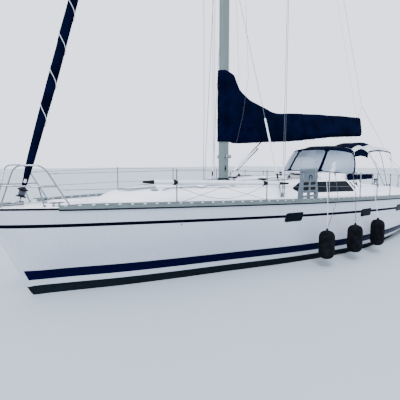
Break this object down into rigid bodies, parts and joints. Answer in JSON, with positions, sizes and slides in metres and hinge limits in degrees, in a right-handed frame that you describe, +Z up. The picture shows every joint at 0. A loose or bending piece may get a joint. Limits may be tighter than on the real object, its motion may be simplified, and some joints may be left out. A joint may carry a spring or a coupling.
{
  "type": "cruising sailing yacht",
  "caption": "Cruising sloop afloat: hollow hull and cabin, fin keel, turning rudder, wheel, propeller, boom and furled headsail, opening hatches, folding swim ladder.",
  "frame": {"origin": "on the waterline plane, on the centreline, 6.1 m aft of the stem head", "axes": "+X aft, +Y starboard, +Z up"},
  "size_m": [12.447, 4.3571, 19.215],
  "materials": {
    "hull_paint": "polished white gelcoat topsides with navy stripes",
    "gelcoat": "white moulded deck gelcoat",
    "antifouling": "matt dark bottom paint",
    "mast_aluminium": "anodised and weathered grey-green aluminium",
    "rail_aluminium": "weathered anodised aluminium",
    "stainless": "polished stainless steel",
    "galvanised": "dull galvanised steel",
    "bronze": "cast bronze",
    "canvas": "navy acrylic canvas",
    "white_plastic": "white moulded plastic",
    "grey_plastic": "grey moulded plastic",
    "dark_glass": "smoked acrylic",
    "fender_cloth": "near-black knitted fender cover"
  },
  "bodies": {
    "root": {"hull": "hull_paint", "keel": "antifouling", "drive_leg": "grey_plastic", "deck": "gelcoat", "cabin_window_port": "dark_glass", "cabin_window_starboard": "dark_glass", "washboard": "dark_glass", "toe_rail_port": "rail_aluminium", "toe_rail_starboard": "rail_aluminium", "stemhead_fitting": "stainless", "anchor": "galvanised", "pulpit": "stainless", "stanchions_port": "stainless", "stanchions_starboard": "stainless", "pushpit_port": "stainless", "pushpit_starboard": "stainless", "whisker_pole": "mast_aluminium", "boarding_steps": "grey_plastic", "pedestal": "white_plastic", "winch_cockpit_port": "stainless", "winch_cockpit_starboard": "stainless", "winch_roof_port": "stainless", "winch_roof_starboard": "stainless", "cleat_bow_port": "rail_aluminium", "cleat_bow_starboard": "rail_aluminium", "cleat_stern_port": "rail_aluminium", "cleat_stern_starboard": "rail_aluminium", "fender_fore": "fender_cloth", "fender_middle": "fender_cloth", "fender_aft": "fender_cloth", "dodger": "canvas", "bimini_frame": "stainless", "bimini_top": "canvas", "mast": "mast_aluminium", "mast_cover": "canvas", "forestay": "stainless", "shrouds_port": "stainless", "shrouds_starboard": "stainless", "backstay": "stainless"},
    "rudder": {"rudder": "antifouling"},
    "propeller": {"propeller": "bronze"},
    "steering_wheel": {"steering_wheel": "stainless"},
    "boom": {"boom": "mast_aluminium", "sail_cover": "canvas", "vang": "mast_aluminium"},
    "furler": {"furler_drum": "grey_plastic", "furled_genoa": "canvas"},
    "anchor_hatch": {"anchor_hatch_lid": "gelcoat"},
    "fore_hatch": {"fore_hatch_lid": "dark_glass"},
    "saloon_hatch": {"saloon_hatch_lid": "dark_glass"},
    "companionway_hatch": {"companionway_hatch": "dark_glass"},
    "swim_ladder": {"swim_ladder": "stainless"}
  },
  "joints": [
    {"name": "rudder_turn", "type": "hinge", "parent": "root", "child": "rudder", "pos_m": [4.9, 0, -0.5], "axis": [0, 0, 1], "range_deg": [-35, 35]},
    {"name": "wheel_turn", "type": "hinge", "parent": "root", "child": "steering_wheel", "pos_m": [4.2, 0, 1.56], "axis": [-1, 0, 0], "range_deg": [-315, 315]},
    {"name": "propeller_spin", "type": "hinge", "parent": "root", "child": "propeller", "pos_m": [3.2, 0, -0.88], "axis": [1, 0, 0], "continuous": true},
    {"name": "boom_swing", "type": "hinge", "parent": "root", "child": "boom", "pos_m": [-0.91, 0, 2.87], "axis": [0, 0, 1], "range_deg": [-57, 57]},
    {"name": "furler_turn", "type": "hinge", "parent": "root", "child": "furler", "pos_m": [-5.529, 0, 1.604], "axis": [0.2834, 0, 0.959], "continuous": true},
    {"name": "anchor_hatch_hinge", "type": "hinge", "parent": "root", "child": "anchor_hatch", "pos_m": [-4.46, 0, 1.54647], "axis": [0, 1, 0], "range_deg": [0, 95]},
    {"name": "fore_hatch_hinge", "type": "hinge", "parent": "root", "child": "fore_hatch", "pos_m": [-3.72, 0, 1.71038], "axis": [0, -1, 0], "range_deg": [0, 100]},
    {"name": "saloon_hatch_hinge", "type": "hinge", "parent": "root", "child": "saloon_hatch", "pos_m": [-2.54, 0, 1.76982], "axis": [0, -1, 0], "range_deg": [0, 100]},
    {"name": "companionway_slide", "type": "slide", "parent": "root", "child": "companionway_hatch", "axis": [-1, 0, 0], "range_m": [0, 0.52]},
    {"name": "swim_ladder_fold", "type": "hinge", "parent": "root", "child": "swim_ladder", "pos_m": [6.135, 0, 0.395], "axis": [0, 1, 0], "range_deg": [0, 175]}
  ],
  "couplings": [
    {"joint": "wheel_turn", "follows": "rudder_turn", "ratio": 9}
  ]
}
